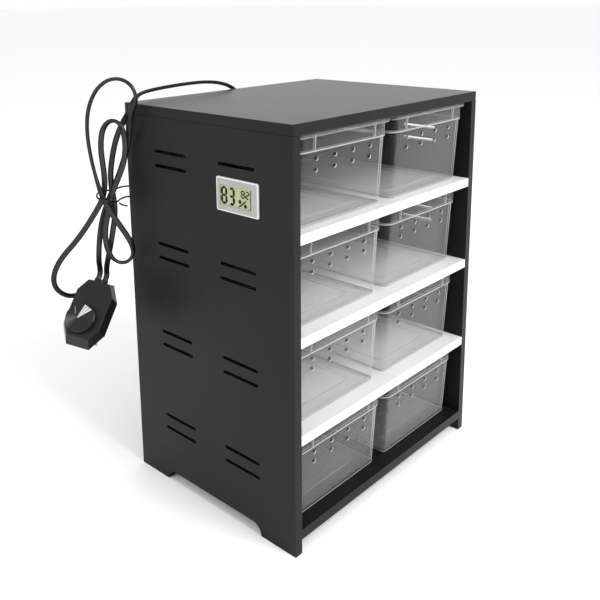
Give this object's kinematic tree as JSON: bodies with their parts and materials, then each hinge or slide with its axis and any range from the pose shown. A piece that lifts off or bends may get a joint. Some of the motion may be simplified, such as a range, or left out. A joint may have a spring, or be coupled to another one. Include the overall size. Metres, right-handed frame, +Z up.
{
  "type": "stacked breeding drawer cabinet",
  "caption": "Black board cabinet with white shelves and clear lidless drawers for breeding small animals, a humidity meter in the side and a warming film run through a corded dimmer.",
  "frame": {"origin": "on the surface under the middle of the cabinet's footprint", "axes": "+X to the right seen from the open front, +Y to the back, +Z up"},
  "size_m": [0.3403, 0.2487, 0.3886],
  "materials": {
    "black_board": "satin black sheet, softly reflecting",
    "white_board": "white sheet",
    "clear_drawer": "clear moulded plastic, thin wall",
    "film_brown": "dark printed film",
    "brass": "plain brass",
    "black_plastic": "moulded, slightly worn",
    "cord_black": "smooth round sheath",
    "rubber_black": "moulded",
    "bezel_grey": "light grey moulded",
    "window_clear": "clear pane",
    "lcd_green": "grey green display",
    "strip_grey": "soft contact strip",
    "board_green": "circuit board",
    "steel": "plain steel",
    "dial_black": "turned look, glossy cone"
  },
  "bodies": {
    "cabinet": {"side_panel_left": "black_board", "side_panel_right": "black_board", "top_panel": "black_board", "base_panel": "black_board", "back_panel": "black_board", "shelf_1": "white_board", "shelf_2": "white_board", "shelf_3": "white_board", "heating_film": "film_brown", "film_terminals": "brass", "terminal_cover": "black_plastic", "heater_cores": "cord_black", "cable_gland": "rubber_black", "meter_case": "bezel_grey", "meter_window": "window_clear", "lcd_glass": "lcd_green", "lcd_contact_strips": "strip_grey", "meter_board": "board_green", "button_cells": "steel", "meter_back_cover": "bezel_grey", "dimmer_front_shell": "black_plastic", "dimmer_back_shell": "black_plastic", "dimmer_bushings": "rubber_black", "dimmer_board": "board_green", "dimmer_pot": "steel", "dimmer_screws": "steel", "cord_feed": "cord_black", "cord_hank": "cord_black", "cord_tie": "cord_black", "plug_relief": "rubber_black", "plug_body": "black_plastic", "plug_pins": "brass"},
    "drawer_1_left": {"drawer_1_left": "clear_drawer"},
    "drawer_1_right": {"drawer_1_right": "clear_drawer"},
    "drawer_2_left": {"drawer_2_left": "clear_drawer"},
    "drawer_2_right": {"drawer_2_right": "clear_drawer"},
    "drawer_3_left": {"drawer_3_left": "clear_drawer"},
    "drawer_3_right": {"drawer_3_right": "clear_drawer"},
    "drawer_4_left": {"drawer_4_left": "clear_drawer"},
    "drawer_4_right": {"drawer_4_right": "clear_drawer"},
    "dial": {"dimmer_dial": "dial_black", "dimmer_shaft": "steel"}
  },
  "joints": [
    {"name": "drawer_1_left_slide", "type": "slide", "parent": "cabinet", "child": "drawer_1_left", "axis": [0, -1, 0], "range_m": [-0.0051, 0.19]},
    {"name": "drawer_1_right_slide", "type": "slide", "parent": "cabinet", "child": "drawer_1_right", "axis": [0, -1, 0], "range_m": [-0.0051, 0.19]},
    {"name": "drawer_2_left_slide", "type": "slide", "parent": "cabinet", "child": "drawer_2_left", "axis": [0, -1, 0], "range_m": [-0.0008, 0.19]},
    {"name": "drawer_2_right_slide", "type": "slide", "parent": "cabinet", "child": "drawer_2_right", "axis": [0, -1, 0], "range_m": [-0.0008, 0.19]},
    {"name": "drawer_3_left_slide", "type": "slide", "parent": "cabinet", "child": "drawer_3_left", "axis": [0, -1, 0], "range_m": [-0.0007, 0.19]},
    {"name": "drawer_3_right_slide", "type": "slide", "parent": "cabinet", "child": "drawer_3_right", "axis": [0, -1, 0], "range_m": [-0.0007, 0.19]},
    {"name": "drawer_4_left_slide", "type": "slide", "parent": "cabinet", "child": "drawer_4_left", "axis": [0, -1, 0], "range_m": [-0.0026, 0.19]},
    {"name": "drawer_4_right_slide", "type": "slide", "parent": "cabinet", "child": "drawer_4_right", "axis": [0, -1, 0], "range_m": [-0.0026, 0.19]},
    {"name": "dial_turn", "type": "hinge", "parent": "cabinet", "child": "dial", "pos_m": [-0.19139, 0.10662, 0.17092], "axis": [-0.5775, -0.52, 0.6293], "range_deg": [-113, 157]}
  ]
}
